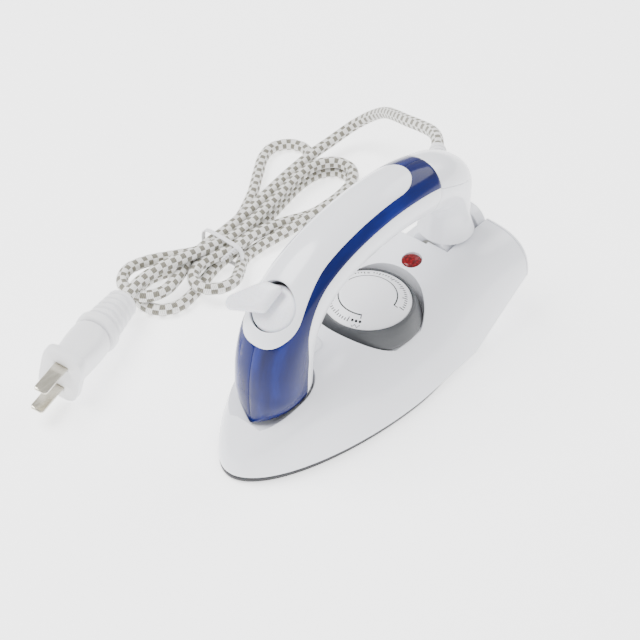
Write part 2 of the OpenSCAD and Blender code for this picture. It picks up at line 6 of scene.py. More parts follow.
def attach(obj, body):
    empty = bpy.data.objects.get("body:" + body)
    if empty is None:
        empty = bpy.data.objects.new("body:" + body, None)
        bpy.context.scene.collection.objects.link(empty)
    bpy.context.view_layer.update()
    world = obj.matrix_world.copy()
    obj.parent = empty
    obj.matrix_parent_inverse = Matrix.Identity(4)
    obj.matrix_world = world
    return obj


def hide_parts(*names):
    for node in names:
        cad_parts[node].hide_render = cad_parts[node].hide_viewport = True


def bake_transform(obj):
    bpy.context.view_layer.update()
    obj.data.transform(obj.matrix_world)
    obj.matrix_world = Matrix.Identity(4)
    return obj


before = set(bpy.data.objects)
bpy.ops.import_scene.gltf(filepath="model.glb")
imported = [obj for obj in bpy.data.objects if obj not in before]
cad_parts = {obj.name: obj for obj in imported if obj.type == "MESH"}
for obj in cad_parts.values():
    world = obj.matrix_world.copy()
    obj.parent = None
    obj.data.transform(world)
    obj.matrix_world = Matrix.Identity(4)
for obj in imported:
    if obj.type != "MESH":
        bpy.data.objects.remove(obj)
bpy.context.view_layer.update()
MM = 0.001

# ---------------------------------------------------------------- camera
az, el = math.radians(40.5), math.radians(43.3)
back = Vector((math.sin(az) * math.cos(el), -math.cos(az) * math.cos(el), math.sin(el)))
right = Vector((math.cos(az), math.sin(az), 0))
up = back.cross(right)
cam_data = bpy.data.cameras.new("camera")
cam_data.lens = 90.2
cam_data.sensor_width = 36
cam_data.clip_start = 0.02
camera = bpy.data.objects.new("camera", cam_data)
bpy.context.scene.collection.objects.link(camera)
m = Matrix.Identity(4)
for row in range(3):
    m[row][0], m[row][1], m[row][2] = right[row], up[row], back[row]
m.translation = Vector((0.3184, -0.3968, 0.5111))
camera.matrix_world = m
bpy.context.scene.camera = camera


# ---------------------------------------------------------------- mesh helpers
def mesh_object(name, verts, faces):
    me = bpy.data.meshes.new(name)
    me.from_pydata([Vector(v) * MM for v in verts], [], faces)
    me.update()
    o = bpy.data.objects.new(name, me)
    bpy.context.scene.collection.objects.link(o)
    return o


def outward(o):
    bm = bmesh.new()
    bm.from_mesh(o.data)
    bmesh.ops.remove_doubles(bm, verts=bm.verts, dist=1e-7)
    bmesh.ops.dissolve_degenerate(bm, edges=bm.edges, dist=1e-7)
    bmesh.ops.recalc_face_normals(bm, faces=bm.faces)
    bm.to_mesh(o.data)
    bm.free()
    return o


def loft(name, rings, caps=True):
    n, count = len(rings[0]), len(rings)
    verts = [p for r in rings for p in r]
    faces = [(j * n + i, j * n + (i + 1) % n, (j + 1) * n + (i + 1) % n, (j + 1) * n + i)
             for j in range(count - 1) for i in range(n)]
    if caps:
        faces += [tuple(reversed(range(n))), tuple((count - 1) * n + i for i in range(n))]
    return outward(mesh_object(name, verts, faces))


def apply(o):
    dep = bpy.context.evaluated_depsgraph_get()
    me = bpy.data.meshes.new_from_object(o.evaluated_get(dep))
    o.modifiers.clear()
    old = o.data
    o.data = me
    bpy.data.meshes.remove(old)
    return o


def boolean(o, other, how="DIFFERENCE", own=False):
    """Cuts, joins or intersects o with other and removes other; own is for pieces that cross themselves."""
    mod = o.modifiers.new("cut", "BOOLEAN")
    mod.operation, mod.object, mod.solver = how, other, "EXACT"
    mod.use_self = own
    bpy.context.view_layer.update()
    apply(o)
    bpy.data.objects.remove(other)
    return o


def soften(o, width=0.3, segments=2, angle=40):
    mod = o.modifiers.new("edge", "BEVEL")
    mod.width, mod.segments, mod.limit_method = width * MM, segments, "ANGLE"
    mod.angle_limit = math.radians(angle)
    mod.use_clamp_overlap = True
    mod.harden_normals = False
    bpy.context.view_layer.update()
    return apply(o)


def smooth(o, angle=35):
    o.data.shade_smooth()
    o.data.set_sharp_from_angle(angle=math.radians(angle))
    return o


def rounded(profile, radius, steps=4):
    """A profile whose corners are rounded by the given radius (one for all, or one for each point)."""
    out, n = [], len(profile)
    for i, p in enumerate(profile):
        r = radius[i] if isinstance(radius, (list, tuple)) else radius
        if i in (0, n - 1) or r <= 0:
            out.append(tuple(p))
            continue
        a, b, c = Vector(profile[i - 1]), Vector(p), Vector(profile[i + 1])
        da, dc = (a - b), (c - b)
        cut = min(r, 0.45 * da.length, 0.45 * dc.length)
        p0, p1 = b + da.normalized() * cut, b + dc.normalized() * cut
        for k in range(steps + 1):
            t = k / steps
            q = p0 * (1 - t) ** 2 + b * 2 * t * (1 - t) + p1 * t * t
            out.append((q.x, q.y))
    return out


def lathe(name, profile, place=None, n=96):
    """A closed solid turned from a profile of (radius, height) points that starts and ends on the axis."""
    verts, faces, rings = [], [], []
    for r, z in profile:
        if r < 1e-6:
            rings.append([len(verts)])
            verts.append((0, 0, z))
        else:
            rings.append(list(range(len(verts), len(verts) + n)))
            verts += [(r * math.cos(2 * math.pi * i / n), r * math.sin(2 * math.pi * i / n), z)
                      for i in range(n)]
    for a, b in zip(rings, rings[1:]):
        for i in range(n):
            k = (i + 1) % n
            if len(a) == 1 and len(b) == 1:
                continue
            if len(a) == 1:
                faces.append((a[0], b[k], b[i]))
            elif len(b) == 1:
                faces.append((a[i], a[k], b[0]))
            else:
                faces.append((a[i], a[k], b[k], b[i]))
    o = mesh_object(name, verts, faces)
    if place is not None:
        o.data.transform(place)
    return outward(o)


def rod(r, z0, z1, place, n=32):
    """A plain cylinder from height z0 to z1, mostly to cut with."""
    return lathe("rod", [(0, z0), (r, z0), (r, z1), (0, z1)], place, n)


def turn(ax, ay, az_):
    return (Matrix.Rotation(math.radians(az_), 4, "Z") @ Matrix.Rotation(math.radians(ay), 4, "Y")
            @ Matrix.Rotation(math.radians(ax), 4, "X"))


def shift(x, y, z):
    return Matrix.Translation(Vector((x, y, z)) * MM)


def tube(name, points, radius, sides=16):
    """A tube along points (mm), with uv: u is the length in mm, v runs once round."""
    pts = [Vector(p) for p in points]
    n = len(pts)
    tang = [(pts[min(i + 1, n - 1)] - pts[max(i - 1, 0)]).normalized() for i in range(n)]
    side = tang[0].cross(Vector((0, 0, 1)))
    if side.length < 0.1:
        side = tang[0].cross(Vector((1, 0, 0)))
    side.normalize()
    verts, lengths, total = [], [], 0.0
    for i in range(n):
        if i:
            total += (pts[i] - pts[i - 1]).length
        lengths.append(total)
        side = (side - tang[i] * side.dot(tang[i])).normalized()
        other = tang[i].cross(side)
        for k in range(sides):
            a = 2 * math.pi * k / sides
            verts.append(pts[i] + (side * math.cos(a) + other * math.sin(a)) * radius)
    me = bpy.data.meshes.new(name)
    faces = [(i * sides + k, i * sides + (k + 1) % sides, (i + 1) * sides + (k + 1) % sides,
              (i + 1) * sides + k) for i in range(n - 1) for k in range(sides)]
    me.from_pydata([v * MM for v in verts], [], faces + [tuple(reversed(range(sides))),
                   tuple((n - 1) * sides + k for k in range(sides))])
    uv = me.uv_layers.new(name="along")
    for f in me.polygons[: len(faces)]:
        i, k = divmod(f.index, sides)
        for loop, (di, dk) in zip(f.loop_indices, ((0, 0), (0, 1), (1, 1), (1, 0))):
            uv.data[loop].uv = (lengths[i + di] * 0.1, (k + dk) / sides)
    me.update()
    o = bpy.data.objects.new(name, me)
    bpy.context.scene.collection.objects.link(o)
    me.shade_smooth()
    return o


def spline_points(route, step):
    """Points a step apart on a smooth curve through the route's points."""
    pts, out, n = [Vector(p) for p in route], [], len(route)
    fine = []
    for i in range(n - 1):
        p0, p1, p2, p3 = pts[max(0, i - 1)], pts[i], pts[i + 1], pts[min(n - 1, i + 2)]
        # centripetal knots keep the curve from overshooting between uneven points
        t1 = max((p1 - p0).length, 1e-3) ** 0.5
        t2 = t1 + max((p2 - p1).length, 1e-3) ** 0.5
        t3 = t2 + max((p3 - p2).length, 1e-3) ** 0.5
        for k in range(40):
            t = t1 + (t2 - t1) * k / 40
            a1 = p0 * ((t1 - t) / t1) + p1 * (t / t1)
            a2 = p1 * ((t2 - t) / (t2 - t1)) + p2 * ((t - t1) / (t2 - t1))
            a3 = p2 * ((t3 - t) / (t3 - t2)) + p3 * ((t - t2) / (t3 - t2))
            b1 = a1 * ((t2 - t) / t2) + a2 * (t / t2)
            b2 = a2 * ((t3 - t) / (t3 - t1)) + a3 * ((t - t1) / (t3 - t1))
            fine.append(b1 * ((t2 - t) / (t2 - t1)) + b2 * ((t - t1) / (t2 - t1)))
    fine.append(pts[-1])
    total = sum((b - a).length for a, b in zip(fine, fine[1:]))
    count = max(2, round(total / step))
    want, run, j, out = total / count, 0.0, 0, [fine[0]]
    for a, b in zip(fine, fine[1:]):
        d = (b - a).length
        while len(out) < count and run + d >= want * len(out):
            out.append(a.lerp(b, (want * len(out) - run) / max(d, 1e-9)))
        run += d
    out.append(fine[-1])
    return out


# ---------------------------------------------------------------- materials
class Nodes:
    def __init__(self, name):
        self.mat = bpy.data.materials.new(name)
        self.mat.use_nodes = True
        self.tree = self.mat.node_tree
        self.bsdf = self.tree.nodes["Principled BSDF"]

    def add(self, kind, **values):
        n = self.tree.nodes.new(kind)
        for k, v in values.items():
            if hasattr(n, k) and k not in n.inputs:
                setattr(n, k, v)
            else:
                n.inputs[k].default_value = v
        return n

    def link(self, a, b):
        self.tree.links.new(a, b)

    def coords(self, kind="Object"):
        return self.add("ShaderNodeTexCoord").outputs[kind]

    def noise(self, scale, detail=4.0, rough=0.55, where=None):
        n = self.add("ShaderNodeTexNoise", Scale=scale, Detail=detail, Roughness=rough)
        self.link(where or self.coords(), n.inputs["Vector"])
        return n.outputs["Fac"]

    def ramp(self, fac, stops):
        n = self.add("ShaderNodeValToRGB")
        e = n.color_ramp.elements
        e[0].position, e[0].color = stops[0][0], (*stops[0][1], 1)
        e[1].position, e[1].color = stops[-1][0], (*stops[-1][1], 1)
        for p, c in stops[1:-1]:
            s = e.new(p)
            s.color = (*c, 1)
        self.link(fac, n.inputs["Fac"])
        return n.outputs["Color"]

    def math(self, how, a, b=None, clamp=False):
        n = self.add("ShaderNodeMath", operation=how, use_clamp=clamp)
        for i, v in enumerate((a, b)):
            if v is None:
                continue
            if isinstance(v, (int, float)):
                n.inputs[i].default_value = v
            else:
                self.link(v, n.inputs[i])
        return n.outputs[0]

    def range(self, fac, low, high, a=0.0, b=1.0):
        n = self.add("ShaderNodeMapRange")
        self.link(fac, n.inputs[0])
        for i, v in zip((1, 2, 3, 4), (a, b, low, high)):
            n.inputs[i].default_value = v
        return n.outputs[0]

    def bump(self, height, strength, distance, edge=0.0):
        n = self.add("ShaderNodeBump", Strength=strength, Distance=distance)
        if edge:
            worn = self.add("ShaderNodeBevel", samples=6, Radius=edge * MM)
            self.link(worn.outputs["Normal"], n.inputs["Normal"])
        self.link(height, n.inputs["Height"])
        self.link(n.outputs["Normal"], self.bsdf.inputs["Normal"])

    def set(self, **values):
        names = {"rough": "Roughness", "metal": "Metallic", "coat": "Coat Weight",
                 "coat_rough": "Coat Roughness", "ior": "IOR", "spec": "Specular IOR Level",
                 "trans": "Transmission Weight", "sheen": "Sheen Weight", "alpha": "Alpha",
                 "sss": "Subsurface Weight", "sss_scale": "Subsurface Scale"}
        for k, v in values.items():
            self.bsdf.inputs[names[k]].default_value = v
        return self


def moulded(name, colour, rough, grain=900.0, depth=0.02, vary=0.04, coat=0.0, mottle=18.0, edge=0.0, **more):
    """Moulded plastic: slightly uneven colour, fine grain in the surface and in the roughness."""
    g = Nodes(name)
    c = Vector(colour)
    tone = g.noise(mottle, 3.0)
    g.link(g.ramp(tone, [(0.3, tuple(c * (1 - vary))), (0.7, tuple(c * (1 + 0.4 * vary)))]),
           g.bsdf.inputs["Base Color"])
    fine = g.noise(grain, 2.0)
    g.link(g.range(fine, rough * 0.85, rough * 1.2, 0.3, 0.7), g.bsdf.inputs["Roughness"])
    g.bump(fine, 0.25, depth * MM, edge)
    g.set(coat=coat, coat_rough=0.08, **more)
    return g.mat


def metal(name, colour, rough, stretch=(40, 1200, 1200), depth=0.01, **more):
    """Drawn or turned metal with fine lines and small tone changes."""
    g = Nodes(name)
    scale = g.add("ShaderNodeVectorMath", operation="MULTIPLY")
    g.link(g.coords(), scale.inputs[0])
    scale.inputs[1].default_value = stretch
    lines = g.noise(1.0, 4.0, where=scale.outputs[0])
    c = Vector(colour)
    g.link(g.ramp(lines, [(0.25, tuple(c * 0.86)), (0.75, tuple(c * 1.06))]), g.bsdf.inputs["Base Color"])
    g.link(g.range(lines, rough * 0.8, rough * 1.3, 0.3, 0.7), g.bsdf.inputs["Roughness"])
    g.bump(lines, 0.3, depth * MM)
    g.set(metal=1.0, **more)
    return g.mat


white = moulded("gloss_white", (0.80, 0.81, 0.855), 0.2, grain=700, depth=0.006, vary=0.02, coat=0.35,
                mottle=9.0, spec=0.5, edge=0.45)
white_soft = moulded("soft_white", (0.80, 0.80, 0.82), 0.42, grain=1500, depth=0.02, vary=0.03)
lever_mat = moulded("lever_white", (0.80, 0.81, 0.86), 0.28, grain=900, depth=0.008, vary=0.03, coat=0.2,
                    sss=0.12, sss_scale=0.003)
plug_mat = moulded("plug_pvc", (0.82, 0.82, 0.835), 0.4, grain=1300, depth=0.03, vary=0.03, coat=0.0)
dark = moulded("dark_skirt", (0.03, 0.03, 0.033), 0.55, grain=1600, depth=0.04, vary=0.15)
dial_grey = moulded("dial_grey", (0.052, 0.055, 0.06), 0.42, grain=1400, depth=0.05, vary=0.12)
dial_white = moulded("dial_white", (0.80, 0.80, 0.825), 0.36, grain=1200, depth=0.01, vary=0.02)
ink = moulded("dial_ink", (0.008, 0.008, 0.01), 0.6, grain=1500, depth=0.004, vary=0.2)
nylon = moulded("nylon", (0.72, 0.70, 0.62), 0.45, grain=900, depth=0.02)
silicone = moulded("silicone", (0.42, 0.10, 0.06), 0.5, grain=700, depth=0.03, vary=0.1)
rubber = moulded("black_rubber", (0.02, 0.02, 0.021), 0.6, grain=900, depth=0.03, vary=0.2)
ceramic = moulded("ceramic", (0.75, 0.70, 0.60), 0.7, grain=500, depth=0.06, vary=0.08)
wire = moulded("wire_brown", (0.33, 0.12, 0.05), 0.45, grain=800, depth=0.02)
steel = metal("zinc_steel", (0.62, 0.63, 0.65), 0.28)
alu = metal("aluminium", (0.78, 0.79, 0.80), 0.35, stretch=(500, 60, 500))
bimetal = metal("bimetal", (0.70, 0.52, 0.28), 0.3)
blade_mat = metal("blade_metal", (0.62, 0.59, 0.50), 0.22, stretch=(900, 90, 900), depth=0.008)


def sole_material():
    g = Nodes("sole_coating")
    fleck = g.add("ShaderNodeTexVoronoi", Scale=1100.0)
    g.link(g.coords(), fleck.inputs["Vector"])
    g.link(g.ramp(fleck.outputs["Distance"], [(0.0, (0.10, 0.10, 0.105)), (0.16, (0.030, 0.030, 0.033)),
                                              (0.8, (0.022, 0.022, 0.025))]), g.bsdf.inputs["Base Color"])
    fine = g.noise(900.0, 3.0)
    g.link(g.range(fine, 0.3, 0.46, 0.3, 0.7), g.bsdf.inputs["Roughness"])
    g.bump(fine, 0.3, 0.02 * MM)
    g.set(metal=0.35)
    return g.mat


def blue_material():
    """Deep blue clear plastic whose colour runs in streaks along the handle, from painted shading to painted
    sheen.
    """
    g = Nodes("clear_blue")
    scale = g.add("ShaderNodeVectorMath", operation="MULTIPLY")
    g.link(g.coords(), scale.inputs[0])
    scale.inputs[1].default_value = (160, 26, 26)
    shade_and_sheen_streak = g.noise(1.0, 3.0, where=scale.outputs[0])
    # Painted shading and painted sheen: the streaks run from near-black blue to a much paler blue along the
    # handle
    g.link(g.ramp(shade_and_sheen_streak, [(0.32, (0.0006, 0.0028, 0.048)), (0.55, (0.0008, 0.0055, 0.088)),
                           (0.75, (0.0018, 0.013, 0.17))]), g.bsdf.inputs["Base Color"])
    fine = g.noise(700.0, 2.0)
    g.link(g.range(fine, 0.11, 0.17, 0.3, 0.7), g.bsdf.inputs["Roughness"])
    g.bump(fine, 0.15, 0.004 * MM)
    g.set(coat=0.12, coat_rough=0.03, ior=1.45, spec=0.22)
    return g.mat


def lamp_material():
    """Clear red lens with small pyramids on its inside; its colour is a painted glint, brightest at each
    cell's centre.
    """
    g = Nodes("lamp_red")
    pyramid_glint_cells = g.add("ShaderNodeTexVoronoi", Scale=900.0)
    g.link(g.coords(), pyramid_glint_cells.inputs["Vector"])
    # Painted glints: bright red at each cell's centre, dark red at its edges
    g.link(g.ramp(pyramid_glint_cells.outputs["Distance"], [(0.0, (0.30, 0.003, 0.008)), (0.45, (0.13, 0.001, 0.003)),
                                              (0.9, (0.045, 0.0005, 0.0015))]), g.bsdf.inputs["Base Color"])
    g.link(g.range(pyramid_glint_cells.outputs["Distance"], 0.06, 0.14), g.bsdf.inputs["Roughness"])
    g.bump(pyramid_glint_cells.outputs["Distance"], 0.35, 0.12 * MM)
    g.set(coat=0.1, coat_rough=0.03, spec=0.2)
    return g.mat


def tank_material():
    g = Nodes("tank_clear")
    tone = g.noise(60.0, 2.0)
    g.link(g.ramp(tone, [(0.3, (0.70, 0.80, 0.86)), (0.7, (0.82, 0.90, 0.95))]), g.bsdf.inputs["Base Color"])
    g.link(g.range(tone, 0.06, 0.14), g.bsdf.inputs["Roughness"])
    g.set(trans=0.85, ior=1.45)
    return g.mat


def braid_material():
    """Braided sleeve: white thread with staggered grey-green blocks, in fine slanted stitches; the grooves
    between stitches are painted darker as painted shading.
    """
    g = Nodes("cord_braid")
    uv = g.coords("UV")
    parts = g.add("ShaderNodeSeparateXYZ")
    g.link(uv, parts.inputs[0])
    along = g.math("MULTIPLY", parts.outputs[0], 10.0 / 5.4)
    around = g.math("MULTIPLY", parts.outputs[1], 6.0)
    column = g.math("FLOOR", around)
    stagger = g.math("MULTIPLY", g.math("MODULO", column, 2.0), 0.5)
    wob = g.noise(260.0, 2.0)
    cell = g.math("FRACT", g.math("ADD", g.math("ADD", along, stagger), g.math("MULTIPLY", wob, 0.10)))
    grey = g.math("LESS_THAN", cell, 0.47)
    edge = g.math("PINGPONG", g.math("FRACT", around), 0.5)
    grey = g.math("MULTIPLY", grey, g.math("GREATER_THAN", edge, 0.05))
    # stitches: two families of slanted threads
    stitch = g.math("MULTIPLY", parts.outputs[0], 10.0 / 0.75)
    s1 = g.math("ADD", stitch, around)
    s2 = g.math("SUBTRACT", stitch, around)
    odd = g.math("MODULO", column, 2.0)
    pick = g.add("ShaderNodeMix", data_type="FLOAT")
    g.link(odd, pick.inputs[0])
    g.link(s1, pick.inputs[2])
    g.link(s2, pick.inputs[3])
    thread = g.math("PINGPONG", g.math("FRACT", pick.outputs[0]), 0.5)
    height = g.math("ADD", thread, g.math("MULTIPLY", edge, 1.2))
    fuzz = g.noise(2600.0, 3.0)
    # Painted shading: both thread colours darken towards the grooves between stitches
    white_thread_groove_shade = g.ramp(g.math("ADD", g.math("MULTIPLY", thread, 1.3), g.math("MULTIPLY", fuzz, 0.5)),
                   [(0.15, (0.42, 0.41, 0.38)), (0.55, (0.74, 0.73, 0.70)), (0.95, (0.88, 0.87, 0.84))])
    grey_green_thread_groove_shade = g.ramp(g.math("ADD", g.math("MULTIPLY", thread, 1.3), g.math("MULTIPLY", fuzz, 0.5)),
                   [(0.15, (0.06, 0.057, 0.042)), (0.55, (0.15, 0.14, 0.105)), (0.95, (0.25, 0.235, 0.185))])
    mix = g.add("ShaderNodeMix", data_type="RGBA")
    g.link(grey, mix.inputs[0])
    g.link(white_thread_groove_shade, mix.inputs[6])
    g.link(grey_green_thread_groove_shade, mix.inputs[7])
    g.link(mix.outputs[2], g.bsdf.inputs["Base Color"])
    g.link(g.range(fuzz, 0.5, 0.75, 0.3, 0.7), g.bsdf.inputs["Roughness"])
    g.bump(height, 0.8, 0.22 * MM)
    g.set(sheen=0.25)
    return g.mat


sole_mat, blue, lamp_mat, tank_mat, braid = (sole_material(), blue_material(), lamp_material(),
                                             tank_material(), braid_material())


def dress(o, mat, body=None, stands_for=()):
    o.data.materials.clear()
    o.data.materials.append(mat)
    if body:
        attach(o, body)
    if stands_for:
        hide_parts(*stands_for)
    return o


# ---------------------------------------------------------------- cord, from the gland to the plug
CORD_D = 5.8
lead_route = [(-19.75, 81.3, 68.46), (-24.5, 87.4, 67.5), (-32, 94, 64.6), (-43, 99.5, 59.8),
              (-56, 105.5, 53.6), (-69, 113.5, 46), (-81, 121.5, 37.5), (-91.5, 127, 28.5), (-100.5, 129, 20),
              (-107, 127, 13.6), (-110, 121, 10.2), (-111, 113, 9), (-111.4, 105, 8.8)]
hank_route = [
    (-111, 95, 8.8), (-109.5, 78, 8.8), (-106.5, 55, 8.8), (-103.8, 30, 8.8), (-103.4, 12, 8.8),
    (-101.5, -2, 8.8), (-97.5, -13, 8.8), (-95.8, -23, 8.8), (-99, -31.2, 8.8), (-107, -34.6, 8.8),
    (-115.5, -31.6, 8.6), (-119.8, -23.5, 8.2), (-118.2, -12, 6.8), (-112.5, 1, 4.8), (-107.8, 12, 3.2),
    (-106.6, 25, 2.95), (-109, 41, 2.95), (-117, 60, 2.95), (-127, 76, 2.95), (-134, 88, 2.95),
    (-135.6, 97, 2.95), (-130.5, 105, 2.95), (-122, 107, 2.95), (-115, 102.5, 2.95), (-112, 93, 2.95),
    (-109.5, 76, 2.95), (-105, 53, 2.95), (-101, 30, 2.95), (-100.6, 14, 2.95), (-103.8, 1, 2.95),
    (-109.8, -11, 2.95), (-112, -21, 2.95), (-108.5, -29, 2.95), (-101, -32.4, 2.95), (-93, -30.2, 2.95),
    (-88.2, -23, 2.95), (-88.4, -13, 2.95), (-91.5, -1, 2.95), (-94.2, 11, 2.95), (-94.8, 25, 2.95),
    (-97.4, 44, 2.95), (-101.8, 65, 2.95), (-104.6, 84, 2.95), (-103, 96, 2.95), (-96, 103.6, 2.95),
    (-87.5, 102.6, 2.95), (-81.6, 95.5, 2.95), (-81.2, 84, 2.95), (-84.2, 67, 3.8), (-89.6, 49, 6),
    (-91.8, 32, 8.3), (-92, 18, 8.8), (-95, 7.5, 8.8), (-95.4, -2, 8.8), (-90.5, -9.4, 8.8),
    (-82.5, -10, 8.8), (-76.8, -4, 8.6), (-76.6, 4, 7.6), (-81.5, 12.5, 5.2), (-87.4, 22, 3.1),
    (-87.4, 34, 3.4), (-83.2, 49, 5.7), (-79.6, 66, 8.2), (-78.6, 83, 8.8), (-81, 95, 8.8),
    (-88, 103.6, 8.8), (-97, 103.4, 8.8), (-103.8, 95, 8.8), (-104.6, 81, 8.8), (-101.2, 60, 8.8),
    (-98.2, 38, 8.8), (-97.8, 23, 9.2), (-98.6, 8, 12.8), (-100.6, -6, 14.7), (-103.6, -20, 14.9),
    (-104.8, -31, 13.6), (-103.6, -39, 12.2), (-102.4, -43.6, 11.5)]
cord_line = spline_points(lead_route + hank_route, 1.5)
cord = tube("cord", cord_line, CORD_D / 2, sides=20)
dress(cord, braid)


# ---------------------------------------------------------------- body
def mix(a, b, t):
    return a + (b - a) * t


def clamp(t):
    return max(0.0, min(1.0, t))


def ease(t):
    c = clamp(t)
    return c * c * (3 - 2 * c)


def power(v, p):
    return math.copysign(abs(v) ** p, v)


# Wall of the shells, height of the fold axis, the handle's round feet and their play, the dial, the lug
WALL = 2.0
PIVOT_Z = 38.0
FOOT_R = 15.3
BARREL_R = 9.6
GAP = 0.6
DIAL_U = 91.0
DIAL_R = 24.4
LUG_R = 3.9
LAMP_U = 122


def at(u):
    return u - 83.0


def body_w(u):
    t = clamp(u / 90)
    return 36.2 * (1 - (1 - t) ** 1.7) ** 0.52 - 1.2 * ease((u - 110) / 56)


def body_low(u):
    return 3.5 + 0.535 * max(0.0, u - 126)


def body_top(u):
    t = clamp(u / 42)
    return 5 + 33.2 * (1 - (1 - t) ** 1.6) ** 0.7 + 5.5 * ease((u - 100) / 45)


def body_ring(u, w, low, top, n):
    p = mix(mix(3, 2.3, ease((u - 30) / 35)), 4.2, ease((u - 95) / 55))
    q = mix(mix(2.4, 1.45, ease((u - 30) / 35)), 2.2, ease((u - 95) / 55))
    ring = []
    for i in range(n + 1):
        a = math.pi * i / n
        z = low + (top - low) * max(0, math.sin(a)) ** (2 / q)
        ring.append((w * power(math.cos(a), 2 / p), at(u), z))
    return ring


def stations(stops, step):
    out = []
    for a, b in zip(stops, stops[1:]):
        k = max(1, round((b - a) / step))
        out += [a + (b - a) * i / k for i in range(k)]
    return out + [stops[-1]]


BOX_FACES = [(0, 1, 3, 2), (4, 6, 7, 5), (0, 4, 5, 1), (2, 3, 7, 6), (0, 2, 6, 4), (1, 5, 7, 3)]


def box_solid(name, x0, x1, u0, u1, z0, z1):
    v = [(x, at(u), z) for x in (x0, x1) for u in (u0, u1) for z in (z0, z1)]
    return outward(mesh_object(name, v, BOX_FACES))


def along(name, u0, u1, r, n=96):
    return lathe(name, [(0, 0), (r, 0), (r, u1 - u0), (0, u1 - u0)],
                 shift(0, at(u0), PIVOT_Z) @ turn(-90, 0, 0), n)


def front_pocket(g):
    r = FOOT_R + GAP + g
    a = along("p1", 13.2 - g, 29.6, r)
    dome = [(0, -0.3), (r, -0.3)]
    for t in range(0, 90, 5):
        a_t = math.radians(t)
        dome.append((r * math.cos(a_t) ** 0.82, r * math.sin(a_t) ** 0.82))
    dome.append((0, r))
    b = lathe("p2", dome, shift(0, at(29.5), PIVOT_Z) @ turn(-90, 0, 0), 96)
    parts = [b, box_solid("p3", -60, 6, 13.2 - g, 46 + g, PIVOT_Z, 70),
             box_solid("p4", -60, 0, 13.2 - g, 46 + g, PIVOT_Z - r, 70),
             box_solid("p5", -60, -18.5 + g, 40, 63 + g, PIVOT_Z - r, 70)]
    for p in parts:
        boolean(a, p, "UNION")
    return a


def rear_pocket(g):
    r = BARREL_R + GAP + g
    a = along("p1", 134.6 - g, 170, r)
    for p in [box_solid("p2", -r, r, 134.6 - g, 170, PIVOT_Z, 70),
              box_solid("p3", -60, -0.5, 133 - g, 159.6 + g, 23.4 - g, 70),
              box_solid("p4", -60, -17 + g, 127.5 - g, 159.6 + g, 23.4 - g, 70)]:
        boolean(a, p, "UNION")
    return a


def dial_well(g):
    r = DIAL_R + 0.5 + g
    return rod(r, 28.6 - g, 60, shift(0, at(DIAL_U), 0), 128)


def cord_notch():
    """Open corner of the heel where the cord's gland comes to lie when the handle is folded."""
    return box_solid("notch", -60, -25.6, 149, 170, 14, 70)


us = [0.1, 0.3, 0.6, 1, 1.6, 2.4, 3.4, 4.6, 6, 7.6, 9.4] + stations([11.4, 60, 126, 163.2], 2.0)
body = loft("body_outer", [body_ring(u, body_w(u), body_low(u), body_top(u), 96) for u in us])
ui = [2.6, 3.6, 5, 6.5, 8, 10] + stations([12, 126], 4) + [126.1] + stations([128, 163.4], 4)
inner = loft("body_inner", [body_ring(u, body_w(u) - WALL, body_low(u) + WALL if u > 126 else -1,
                                      body_top(u) - WALL, 48) for u in ui])
walls = front_pocket(1.8)
boolean(walls, rear_pocket(1.8), "UNION")
boolean(walls, dial_well(2), "UNION")
for x in (-22, 22):
    boolean(walls, rod(3.2, 0, 3.6, shift(x, at(159.6), 35) @ turn(-90, 0, 0), 32), "UNION")
boolean(inner, walls)
boolean(body, inner)
lug_profile = [(0, 0), (LUG_R, 0), (LUG_R, 8.5)]
for t in range(10, 90, 10):
    lug_profile.append((LUG_R * math.cos(math.radians(t)), 8.5 + LUG_R * math.sin(math.radians(t))))
lug_profile.append((0, 8.5 + LUG_R))
lug = lathe("lug", lug_profile, shift(0, at(46), PIVOT_Z) @ turn(-90, 0, 0), 64)
boolean(body, lug, "UNION")
for cutter in (front_pocket(0.35), rear_pocket(0.1), dial_well(0), cord_notch(),
               rod(3.05, 20, 32, shift(0, at(DIAL_U), 0), 48),
               rod(4.6, 24, 44, shift(0, at(LAMP_U), 0), 64),
               along("c", 40, 54, 2.01, 32), along("c", 126, 140, 2.01, 32)):
    boolean(body, cutter)
for x in (-22, 22):
    boolean(body, rod(1.52, 0, 4, shift(x, at(160.4), 35) @ turn(-90, 0, 0), 24))
body.name = "body_shell_look"
outward(body)
smooth(body, 42)
dress(body, white, "base", ["body_shell"])

rings = []
for k in range(9):
    a = math.radians(90 * k / 8)
    d = 2.4 * (1 - math.cos(a))
    rings.append([(p[0], at(163.6 + 2.4 * math.sin(a)), p[2]) for p in
                  body_ring(163.2, body_w(163.2) - d, body_low(163.2) + d, body_top(163.2) - d, 96)])
heel = loft("rear_cover_look", rings)
barrel_gap = BARREL_R + GAP
for cutter in (cord_notch(), along("c", 150, 175, barrel_gap),
               box_solid("c", -barrel_gap, barrel_gap, 150, 175, PIVOT_Z, 60)):
    boolean(heel, cutter)
for x in (-22, 22):
    for r, h in ((1.6, 8), (3.0, 2.4)):
        boolean(heel, rod(r, 0, h, shift(x, 84, 35) @ turn(90, 0, 0), 32))
outward(heel)
soften(heel, 0.25, 2, 50)
smooth(heel, 40)
dress(heel, white, "base", ["rear_cover"])

# ---------------------------------------------------------------- handle
ARCH = [(29.5, 38, 15.2, 15.3), (30.3, 50, 15.2, 15), (34, 62.5, 15, 14.4), (43, 74, 14.6, 13.6),
        (56, 81.5, 14.2, 13.1), (72, 85.5, 14, 13), (90, 87, 14, 13), (107, 86, 14, 13),
        (121, 83.2, 13.7, 13), (134, 79, 13, 12.8), (143, 71, 11.5, 13), (146.3, 60, 10, 10.8),
        (146.4, 51.5, 10.4, 11.2), (146.4, 44.6, 13, 12.6)]
LAST = len(ARCH) - 1
RING_END = 8.05


